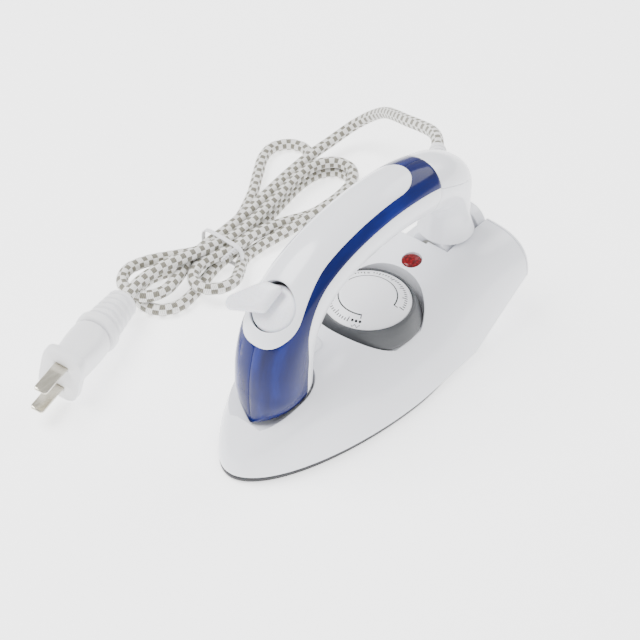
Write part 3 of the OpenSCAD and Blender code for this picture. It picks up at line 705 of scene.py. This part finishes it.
def arch(s):
    i = min(LAST - 1, max(0, math.floor(s)))
    t = s - i
    p = [ARCH[max(0, min(LAST, j))] for j in (i - 1, i, i + 1, i + 2)]
    return [(2 * b + (c - a) * t + (2 * a - 5 * b + 4 * c - d) * t * t + (3 * b - a - 3 * c + d) * t ** 3) / 2
            for a, b, c, d in zip(*p)]


def skin(s, angle, k):
    a = math.radians(angle)
    sa, ca = math.sin(a), math.cos(a)
    if s < 0:
        b, r = math.radians(-s), FOOT_R - k
        w, h = r * abs(sa) ** 0.82, r * power(ca, 0.82)
        return (math.copysign(w, sa) * math.cos(b), at(29.5 - h), PIVOT_Z - (w if h < 0 else r) * math.sin(b))
    c, p0, p1 = arch(s), arch(max(0, s - 0.05)), arch(min(LAST, s + 0.05))
    d = Vector((p1[0] - p0[0], p1[1] - p0[1])).normalized()
    e = mix(0.82, 0.95, ease((s - 1) / 3))
    x, h = (c[2] - k) * power(sa, e), (c[3] - k) * power(ca, e)
    return (x, at(c[0] - h * d.y), c[1] + h * d.x)


def cover_angle(s):
    full = mix(60, 43, ease((s - 2.2) / 1.8))
    f, r = clamp((s - 1.72) / 0.9), clamp((7.25 - s) / 0.75)
    return full * math.sqrt(1 - (1 - f) ** 2) * math.sqrt(1 - (1 - r) ** 2)


def band_angle(s):
    return 103 if s < 0 else mix(103, 69, ease((s - 0.9) / 2.8))


def near_start(a, b, n):
    return [a + (b - a) * (1 - math.cos(math.pi / 2 * i / n)) for i in range(n)]


def near_end(a, b, n):
    return [a + (b - a) * math.sin(math.pi / 2 * i / n) for i in range(n)]


FEET = [-86, -80, -73, -65, -57, -48, -39, -30, -22, -14, -7]
COVER = near_start(1.72, 2.62, 14) + stations([2.62, 6.5], 0.11) + near_end(6.5, 7.25, 14)[1:] + [7.2499]
BLUE = FEET + stations([0, 1.72], 0.12)[:-1] + COVER + stations([7.28, RING_END], 0.11)
LOWER = FEET + stations([0, RING_END], 0.12)


def slab(name, ss, a0, a1, k0, k1, n):
    rings = []
    for s in ss:
        angles = [mix(a0(s), a1(s), i / n) for i in range(n + 1)]
        rings.append([skin(s, a, k0) for a in angles] + [skin(s, a, k1) for a in reversed(angles)])
    return loft(name, rings)


LEVER = shift(0, at(31), 75.6) @ turn(38, 0, 0)


def lever_hole(r):
    return rod(r, -3.2, 9, LEVER, 96)


for name, sign in (("right", -1), ("left", 1)):
    shell = slab("handle_shell_%s_look" % name, BLUE, lambda s: sign * max(0.15, cover_angle(s)),
                 lambda s: sign * band_angle(s), 0, WALL, 26)
    boolean(shell, lever_hole(10.6))
    outward(shell)
    soften(shell, 0.22, 2, 50)
    smooth(shell, 38)
    dress(shell, blue, "handle", ["handle_shell_" + name])

cover = slab("grip_cover_look", COVER, lambda s: cover_angle(s) - 0.25 * (s > 1.75),
             lambda s: 0.25 * (s > 1.75) - cover_angle(s), -0.15, WALL, 44)
boolean(cover, lever_hole(10.5))
boss = rod(3, 76, 98.4, shift(0, at(98), 0), 32)
boolean(cover, boss, "UNION")
outward(cover)
soften(cover, 0.22, 2, 50)
smooth(cover, 38)
dress(cover, white, "handle", ["grip_cover"])

lower = slab("handle_lower_look", LOWER, lambda s: 360 - band_angle(s), band_angle, 0, WALL, 44)
boolean(lower, along("c", 30, 60, 5.02, 48))
for r, z0, z1 in ((1.6, 75, 105), (3.0, 70, 75.2)):
    boolean(lower, rod(r, z0, z1, shift(0, at(98), 0), 32))
outward(lower)
soften(lower, 0.2, 2, 50)
smooth(lower, 38)
dress(lower, white, "handle", ["handle_lower_shell"])


def handle_tube(name, ss, k, n=72):
    return loft(name, [[skin(s, -360 * i / n, k) for i in range(n)] for s in ss])


def seam_cut(name, above):
    """Half space above or below the straight seam between the rear cap and the rear post."""
    m = shift(-30, at(108), 94.14 + (0.15 if above else 0)) @ turn(-24.7, 0, 0)
    m = m @ shift(0, -30, 0 if above else -110)
    v = [(x, y, z) for x in (0, 60) for y in (0, 130) for z in (0, 110)]
    o = mesh_object(name, v, BOX_FACES)
    o.data.transform(m)
    return outward(o)


POST = stations([8.06, 13], 0.13)
GLAND = shift(-7, at(147.5), 70.6) @ turn(0, -95.7, -52.8)
gland_hole = rod(4.75, -2, 14, GLAND, 64)
cap = handle_tube("rear_cap_look", [s for s in POST if s < 11], 0)
boolean(cap, handle_tube("c", [7.9] + [s for s in POST if s < 11.5], WALL), own=True)
boolean(cap, seam_cut("c", True), "INTERSECT", own=True)
post = handle_tube("rear_post_look", POST, 0)
boolean(post, handle_tube("c", [7.9] + [s for s in POST if s < 12.1], WALL), own=True)
boolean(post, seam_cut("c", False), "INTERSECT", own=True)
boolean(post, along("c", 135.2, 156, BARREL_R), "UNION")
boolean(post, gland_hole)
boolean(post, along("c", 130, 154, 5.03, 64))
boolean(post, along("c", 150, 160, 2.5, 48))
boolean(post, along("c", 155.7, 168, BARREL_R + 0.3))
for o, node in ((cap, "rear_cap"), (post, "rear_post")):
    outward(o)
    soften(o, 0.22, 2, 50)
    smooth(o, 38)
    dress(o, white, "handle", [node])

button_profile = rounded([(0, 6.6), (BARREL_R, 6.6), (BARREL_R, 0), (5, 0), (5, 4), (2.3, 4), (2.3, -5.4),
                          (3.4, -5.4), (3.4, -6.5), (2.3, -6.5), (2.3, -6.8), (0, -6.8)],
                         [0, 1.6, 0.4, 0.3, 0, 0, 0, 0.3, 0.3, 0, 0.1, 0])
button = lathe("release_button_look", button_profile, shift(0, at(159.2), PIVOT_Z) @ turn(-90, 0, 0), 96)
smooth(button, 35)
dress(button, white, "button", ["release_button"])

# ---------------------------------------------------------------- cord gland
profile = [(0, 0), (4.7, 0), (4.7, 5.4), (5.6, 5.4), (5.6, 6.8), (4.9, 6.8)]
for k in range(4):
    z = 7.6 + 3.1 * k
    r = 4.85 - 0.24 * k
    profile += [(r - 0.75, z), (r - 0.8, z + 0.9), (r, z + 1.0), (r - 0.1, z + 2.4)]
profile += [(3.6, 20.4), (3.6, 21), (2.95, 21), (2.95, 20.2), (0, 20.2)]
gland = lathe("cord_gland_look", rounded(profile, 0.3, 3), GLAND, 64)
smooth(gland, 35)
dress(gland, white_soft, "handle", ["cord_gland"])

# ---------------------------------------------------------------- plug, relief, blades and tie
PLUG = shift(-87, -97, 14.6) @ turn(-93, 0, 16)
SPIN = PLUG @ turn(0, 0, 14)


def squarish(w, h, z, e, n=64):
    """A rounded rectangle: the exponent e runs from 1 (ellipse) to 0 (rectangle)."""
    return [(w * power(math.cos(2 * math.pi * i / n), e), h * power(math.sin(2 * math.pi * i / n), e), z)
            for i in range(n)]


def placed(o, m):
    o.data.transform(m)
    return outward(o)


flange = [(9.2, 12.2, 0.0), (9.8, 12.8, 0.25), (10.1, 13.15, 0.9), (10.1, 13.15, 4.0), (9.8, 12.85, 4.7),
          (9.1, 12.1, 5.0)]
grip = [(8.2, 11.0, 4.6, 0.5), (7.9, 10.2, 5.6, 0.52), (7.9, 9.6, 8, 0.55), (8.3, 9.6, 12, 0.6),
        (8.9, 9.7, 17, 0.66), (9.3, 9.7, 22, 0.74), (9.4, 9.6, 26, 0.84), (9.0, 9.2, 28.4, 0.92),
        (8.3, 8.5, 29.4, 1), (7.4, 7.4, 29.97, 1)]
plug = loft("plug_flange", [squarish(w, h, z, 0.42) for w, h, z in flange])
boolean(plug, loft("plug_grip", [squarish(w, h, z, e) for w, h, z, e in grip]), "UNION")
for y in (-6.35, 6.35):
    seat = loft("c", [squarish(w, h, z, 0.3, 24) for w, h, z in ((3.6, 1.25, -1), (3.6, 1.25, 0.5))])
    seat.data.transform(shift(0, y, 0))
    boolean(plug, seat)
placed(plug, SPIN)
plug.name = "plug_body_look"
soften(plug, 0.3, 2, 45)
smooth(plug, 40)
dress(plug, plug_mat, "base", ["plug_body"])

profile = [(0, 30), (9.4, 30), (10.4, 30.7), (10.4, 34.3), (9.6, 35.1), (8.0, 35.4)]
for k in range(5):
    z = 35.4 + 4.05 * k
    profile += [(7.2 - 0.22 * k, z), (7.15 - 0.22 * k, z + 1.5), (9.0 - 0.36 * k, z + 1.75),
                (8.85 - 0.36 * k, z + 3.6)]
profile += [(6.3, 55.6), (5.6, 56.7), (4.2, 57), (3.0, 57), (3.0, 55.8), (0, 55.8)]
relief = lathe("plug_relief_look", rounded(profile, 0.5, 3), None, 96)
placed(relief, PLUG)
smooth(relief, 35)
dress(relief, plug_mat, "base", ["plug_relief"])

corner_cut = [(-1, -0.7), (-0.93, -1), (0.93, -1), (1, -0.7), (1, 0.7), (0.93, 1), (-0.93, 1), (-1, 0.7)]
blade_sizes = [(3.15, 0.75, 0.45), (3.15, 0.75, -15.6), (3.02, 0.72, -16.5), (2.6, 0.5, -17.2),
               (2.2, 0.28, -17.5)]
bars = []
for y in (-6.35, 6.35):
    bars.append(loft("bar", [[(w * cx, y + t * cy, z) for cx, cy in corner_cut] for w, t, z in blade_sizes]))
blades = bars[0]
boolean(blades, bars[1], "UNION")
placed(blades, SPIN)
blades.name = "plug_blades_look"
smooth(blades, 30)
dress(blades, blade_mat, "base", ["plug_blades"])

# The tie: a flat plastic-covered wire wound round the hank, with its ends twisted together
TIE_Y = 18.0
TIE_N = 72
loop = []
for i in range(TIE_N + 1):
    a = 2 * math.pi * (i % TIE_N) / TIE_N
    loop.append(Vector((-97.5 + 12.7 * power(math.cos(a), 0.55), TIE_Y + 0.25 * math.sin(3 * a),
                        7.1 + 6.65 * power(math.sin(a), 0.62))))
# Its section is a ribbon with a wire down the middle
half_ribbon = [(-1, -0.5), (-0.8, -1), (-0.3, -1), (0, -0.75), (0.3, -1), (0.8, -1), (1, -0.5)]
ribbon = half_ribbon + [(1, 0.5), (0.8, 1), (0.3, 1), (0, 1.3), (-0.3, 1), (-0.8, 1), (-1, 0.5)]
wide = Vector((0, 1, 0))
rings = []
for p, q in zip(loop, loop[1:]):
    thick = (q - p).normalized().cross(wide).normalized()
    rings.append([tuple(p + wide * (1.15 * cx) + thick * (0.42 * cy)) for cx, cy in ribbon])
n = len(ribbon)
tie = mesh_object("hank_tie_look", [p for r in rings for p in r],
                  [(j * n + i, j * n + (i + 1) % n, k * n + (i + 1) % n, k * n + i)
                   for j in range(TIE_N) for k in [(j + 1) % TIE_N] for i in range(n)])
outward(tie)
ends = []
for s in (1, -1):
    rings = []
    for i in range(61):
        t = i / 60
        a = 2 * math.pi * 3.2 * t
        c = Vector((-87.4 + 0.62 * math.cos(a) * s, TIE_Y - 1 - 10 * t,
                    12.9 - 1.2 * t * t + 0.62 * math.sin(a) * s))
        spokes = [2 * math.pi * k / 10 for k in range(10)]
        rings.append([tuple(c + Vector((0.52 * math.cos(b), 0, 0.52 * math.sin(b)))) for b in spokes])
    ends.append(loft("tie_end", rings))
for e in ends:
    boolean(tie, e, "UNION")
outward(tie)
smooth(tie, 50)
dress(tie, white_soft, "base", ["hank_tie"])

# ---------------------------------------------------------------- dial
DIAL = shift(0, at(DIAL_U), 0)
ring_profile = rounded([(0, 34.8), (19, 34.8), (21.6, 32), (22.4, 29.2), (24.4, 29.2), (24.25, 30.6),
                        (22.6, 35.2), (21.2, 38), (20.4, 38.9), (19.75, 38.9), (19.75, 36.62), (0, 36.62)],
                       [0, 0.4, 0.5, 0.4, 0.5, 0.5, 1.5, 1.2, 0.5, 0.3, 0.2, 0], 4)
ring = lathe("dial_ring_look", ring_profile, DIAL, 192)
smooth(ring, 35)
dress(ring, dial_grey, "dial", ["dial_ring"])

face_profile = rounded([(0, 36.66), (19.55, 36.66), (19.55, 38.3), (12.6, 41.15), (11.9, 41.45), (0, 41.6)],
                       [0, 0.2, 0.5, 1.5, 0.6, 0], 5)
face = lathe("dial_face_look", face_profile, DIAL, 160)
smooth(face, 30)
dress(face, dial_white, "dial", ["dial_face"])


def face_z(r):
    if r > 12.6:
        return mix(41.15, 38.3, (r - 12.6) / 6.95)
    return mix(41.6, 41.45, r / 11.9) if r < 11.9 else mix(41.45, 41.15, (r - 11.9) / 0.7)


def on_face(name, outline_rows):
    """A thin raised print: rows of (radius, angle in degrees) points that follow the face."""
    verts, faces = [], []
    rows, cols = len(outline_rows), len(outline_rows[0])
    for lift in (0.07, -0.25):
        for row in outline_rows:
            for r, a in row:
                t = math.radians(a)
                verts.append((r * math.cos(t), r * math.sin(t), face_z(r) + lift))
    k = rows * cols
    for i in range(rows - 1):
        for j in range(cols - 1):
            a, b, c, d = i * cols + j, i * cols + j + 1, (i + 1) * cols + j + 1, (i + 1) * cols + j
            faces += [(a, b, c, d), (k + d, k + c, k + b, k + a)]
    edge = list(range(cols)) + [i * cols + cols - 1 for i in range(1, rows)]
    edge += [(rows - 1) * cols + j for j in range(cols - 2, -1, -1)]
    edge += [i * cols for i in range(rows - 2, 0, -1)]
    for a, b in zip(edge, edge[1:] + edge[:1]):
        faces.append((a, k + a, k + b, b))
    o = mesh_object(name, verts, faces)
    o.data.transform(DIAL)
    return outward(o)


def patch(r0, r1, a0, a1, rows=2, cols=2):
    return [[(mix(r0, r1, i / (rows - 1)), mix(a0, a1, j / (cols - 1))) for j in range(cols)]
            for i in range(rows)]


def dot(r, a, size):
    rows = []
    for i in range(7):
        t = math.pi * i / 6
        h = size * math.sin(t) * 0.999 + 0.01
        rows.append([(r - size * math.cos(t), a + math.degrees((h * s) / r)) for s in (-1, 0, 1)])
    return rows


START, SWEEP = 10.0, 288.0
prints = [on_face("dial_print", patch(12.65, 13.2, START, START + SWEEP, 2, 120))]
prints.append(on_face("tick", patch(12.75, 14.6, START, START + 1.8)))
prints.append(on_face("tick", patch(12.75, 14.6, START + SWEEP - 1.8, START + SWEEP)))
for count, angle in ((1, 128), (2, 212), (3, 291)):
    for i in range(count):
        prints.append(on_face("dot", dot(16.0, angle + (i - (count - 1) / 2) * 6.2, 0.62)))
for k in range(56):
    a = START + 4 + 4.8 * k
    if min(abs(a - 128) - 1, abs(a - 212) - 4, abs(a - 291) - 8) < 4:
        continue
    prints.append(on_face("tick", patch(15.1 if k % 5 == 0 else 16.1, 17.3, a - 0.8, a + 0.8)))
wave = 286.0
prints.append(on_face("wave", [[(18.0 + 0.5 * math.sin(j * 1.05) + d, wave + j * 1.1) for j in range(12)]
                               for d in (0.0, 0.32)]))
first = prints[0]
bm = bmesh.new()
for p in prints:
    bm.from_mesh(p.data)
bm.to_mesh(first.data)
bm.free()
for p in prints[1:]:
    bpy.data.objects.remove(p)
first.name = "dial_print_look"
dress(first, ink, "dial")

# ---------------------------------------------------------------- lamp
lens_profile = [(0, 30), (4.5, 30), (4.5, 40.2)]
for k in range(1, 9):
    t = k / 8
    lens_profile.append((4.5 * math.cos(math.radians(90 * t)) ** 0.9 if k < 8 else 0,
                         40.2 + 1.18 * math.sin(math.radians(90 * t))))
lens = lathe("lamp_lens_look", lens_profile, shift(0, at(LAMP_U), 0), 96)
boolean(lens, rod(2.45, 29, 38, shift(0, at(LAMP_U), 0), 48))
smooth(lens, 30)
dress(lens, lamp_mat, "base", ["lamp_lens"])

# ---------------------------------------------------------------- steam lever
cap_profile = rounded([(0, -11), (3, -11), (3, -1.6), (10, -1.6), (10, 0.2), (9.2, 1.3), (6, 2.0), (0, 2.4)],
                      [0, 0.3, 0.4, 0.3, 0.8, 1.0, 1.2, 0], 4)
lever = lathe("steam_lever_look", cap_profile, LEVER, 128)
# The paddle: a rounded wing that stands on the cap, tall over the axis and drooping to its tip
outline = [(-15.2, -6.4, 3.4), (-5.5, 5.1, 2.6), (0.4, 7.4, 1.2), (-1.4, -2.6, 1.6)]
circle_points = [Vector((x + r * math.cos(2 * math.pi * i / 40), y + r * math.sin(2 * math.pi * i / 40)))
                 for x, y, r in outline for i in range(40)]
hull = [circle_points[i] for i in convex_hull_2d(circle_points)]
if sum(a.x * b.y - b.x * a.y for a, b in zip(hull, hull[1:] + hull[:1])) < 0:
    hull.reverse()
total = sum((b - a).length for a, b in zip(hull, hull[1:] + hull[:1]))
even, run, k = [], 0.0, 0
for a, b in zip(hull, hull[1:] + hull[:1]):
    d = (b - a).length
    while k < 96 and run + d >= total * k / 96:
        even.append(a.lerp(b, (total * k / 96 - run) / max(d, 1e-9)))
        k += 1
    run += d
centre = sum(even, Vector((0, 0))) / len(even)


def wing(scale, z, droop, lean=0.0):
    ring = []
    for p in even:
        q = centre.lerp(Vector((-3.5, 1.0)), lean) + (p - centre) * scale
        far = clamp((-q.x - 1) / 17)
        ring.append((q.x, q.y, z - droop * far * far))
    return ring


# Size, height, droop of the far end, and how far the outline leans towards the paddle's foot
wing_rows = [(0.26, 1.0, 0, 1), (0.28, 2.4, 0, 1), (0.5, 3.05, 0, 0.6), (0.85, 3.4, -0.1), (0.965, 3.9, 0.1),
             (1.0, 4.6, 0.5), (1.0, 5.6, 1.0), (0.985, 6.4, 1.3), (0.94, 7.1, 1.6), (0.84, 7.5, 1.8),
             (0.6, 7.6, 1.8), (0.3, 7.6, 1.7)]
paddle = loft("paddle", [wing(*row) for row in wing_rows])
paddle.data.transform(LEVER)
boolean(lever, outward(paddle), "UNION")
outward(lever)
soften(lever, 0.35, 3, 40)
smooth(lever, 45)
dress(lever, lever_mat, "lever", ["steam_lever"])

# ---------------------------------------------------------------- sole
def sole_w(u):
    t = clamp(u / 90)
    return SOLE_HW * (1 - (1 - t) ** 1.7) ** 0.52 - (0.0147 * (u - 90) ** 1.44 if u > 90 else 0)


def sole_ring(inset, z):
    us_ = [0.05, 0.2, 0.5, 0.8, 1.3, 2, 3, 4, 5.5, 7, 9, 11] + stations([13, 130], 3)
    us_ += [132, 134, 135.5, 137, 138, 139, 139.6, 140]
    k = 1 - inset / 60
    w = [max(0.45, (sole_w(u) - inset) - (6 * ((u - 130) / 10) ** 4 if u > 130 else 0)) for u in us_]
    right_side = [(w[i], at(inset * 1.4 + us_[i] * k), z) for i in range(len(us_))]
    return right_side + [(-x, y, z) for x, y, z in reversed(right_side)]


def slab_of(name, inset_z):
    return loft(name, [sole_ring(inset, z) for inset, z in inset_z])


def chamber(name, inset, z0, z1):
    o = slab_of(name, [(inset, z0), (inset, z1)])
    boolean(o, box_solid("c", -50, 50, -5, 132.4 - inset, z0 - 1, z1 + 1), "INTERSECT")
    return o


SOLE_HW = 35.4
sole_edge = [(1.1, 0), (0.55, 0.18), (0.2, 0.55), (0, 1.1), (0, 2.6), (0.15, 3.0), (0.45, 3.2)]
sole = slab_of("soleplate_look", sole_edge)
raised = chamber("raised", 7, 3.0, 10)
boolean(raised, chamber("c", 13, 6, 11))
boolean(sole, raised, "UNION")
groove = slab_of("c", [(5.4, -1), (5.4, 0.22)])
boolean(groove, slab_of("d", [(6.1, -2), (6.1, 1)]))
boolean(sole, groove)
hole_profile = [(0, -1), (2.5, -1), (2.5, 0), (1.5, 0.9), (1.5, 11), (0, 11)]
for x, u in [(side * (sole_w(v) - 9), v) for v in (20, 32, 44, 56) for side in (-1, 1)] + [(0, 20), (0, 27)]:
    boolean(sole, lathe("hole", hole_profile, shift(x, at(u), 0), 32))
outward(sole)
soften(sole, 0.12, 1, 50)
smooth(sole, 35)
dress(sole, sole_mat, "base", ["soleplate"])

# ---------------------------------------------------------------- spring of the release button
COIL_R = 3.15
COIL_TURNS = 5.5
coil_points = []
for i in range(265):
    t = i / 264
    a = 2 * math.pi * COIL_TURNS * t
    u = 156.35 + 6.5 * mix(t, ease(t), 0.25)
    coil_points.append((COIL_R * math.cos(a), at(u), PIVOT_Z + COIL_R * math.sin(a)))
coil = tube("button_spring_look", coil_points, 0.32, 10)
dress(coil, steel)
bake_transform(coil)
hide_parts("button_spring")

# ---------------------------------------------------------------- cord
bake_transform(cord)
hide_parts("cord_lead", "cord_hank")

# ---------------------------------------------------------------- finishes of the mechanical pieces
neon = moulded("neon_bulb", (0.95, 0.42, 0.16), 0.12, grain=900, depth=0.004, vary=0.1, coat=0.6)
finishes = {
    steel: ("heating_element", "chamber_screws", "rear_cover_screws", "thermostat_bracket", "front_pivot_pin",
            "rear_pivot_pin", "pin_clips", "dial_spindle", "spindle_clip", "grip_screw", "valve_needle"),
    alu: ("steam_chamber_cover", "heat_shield"),
    silicone: ("chamber_gasket", "steam_hose", "tank_seal"),
    dark: ("base_skirt",), ceramic: ("thermostat",), bimetal: ("bimetal_strip",), rubber: ("lever_o_ring",),
    white_soft: ("thermal_fuse", "valve_seat"),
    nylon: ("terminal_block", "front_bush", "rear_bush", "cord_clamp"),
    neon: ("neon_lamp",), wire: ("heater_leads", "mains_wires"), tank_mat: ("water_tank", "drip_tube")}
for mat, names in finishes.items():
    for name in names:
        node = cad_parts[name]
        node.data.materials.clear()
        node.data.materials.append(mat)

# ---------------------------------------------------------------- floor and light
bm = bmesh.new()
bmesh.ops.create_grid(bm, x_segments=8, y_segments=8, size=3.0)
floor_mesh = bpy.data.meshes.new("floor")
bm.to_mesh(floor_mesh)
bm.free()
floor = bpy.data.objects.new("floor", floor_mesh)
bpy.context.scene.collection.objects.link(floor)
floor.location.z = -0.0002
floor_mat = moulded("floor_paper", (0.93, 0.93, 0.935), 0.6, grain=300, depth=0.01, vary=0.01, mottle=2.0)
glow = floor_mat.node_tree.nodes["Principled BSDF"]
glow.inputs["Emission Color"].default_value = (1, 1, 1, 1)
glow.inputs["Emission Strength"].default_value = 1.6
floor_mesh.materials.append(floor_mat)


def area_light(name, size, power_w, place, aim, colour=(1, 1, 1)):
    data = bpy.data.lights.new(name, "AREA")
    data.shape, data.size, data.energy, data.color = "DISK", size, power_w, colour
    o = bpy.data.objects.new(name, data)
    bpy.context.scene.collection.objects.link(o)
    o.location = place
    o.rotation_euler = (Vector(aim) - Vector(place)).to_track_quat("-Z", "Y").to_euler()
    return o


lamps = [area_light("key", 0.9, 26, (-0.55, -0.35, 1.15), (-0.02, 0, 0.03)),
         area_light("fill", 1.0, 6, (1.0, -0.55, 0.75), (0, 0, 0.04)),
         area_light("back", 0.8, 7, (0.15, 1.05, 0.85), (-0.02, 0.02, 0.05))]
world = bpy.data.worlds.new("studio")
world.use_nodes = True
bg = world.node_tree.nodes["Background"]
bg.inputs["Color"].default_value = (1, 1, 1, 1)
bg.inputs["Strength"].default_value = 1.0
bpy.context.scene.world = world
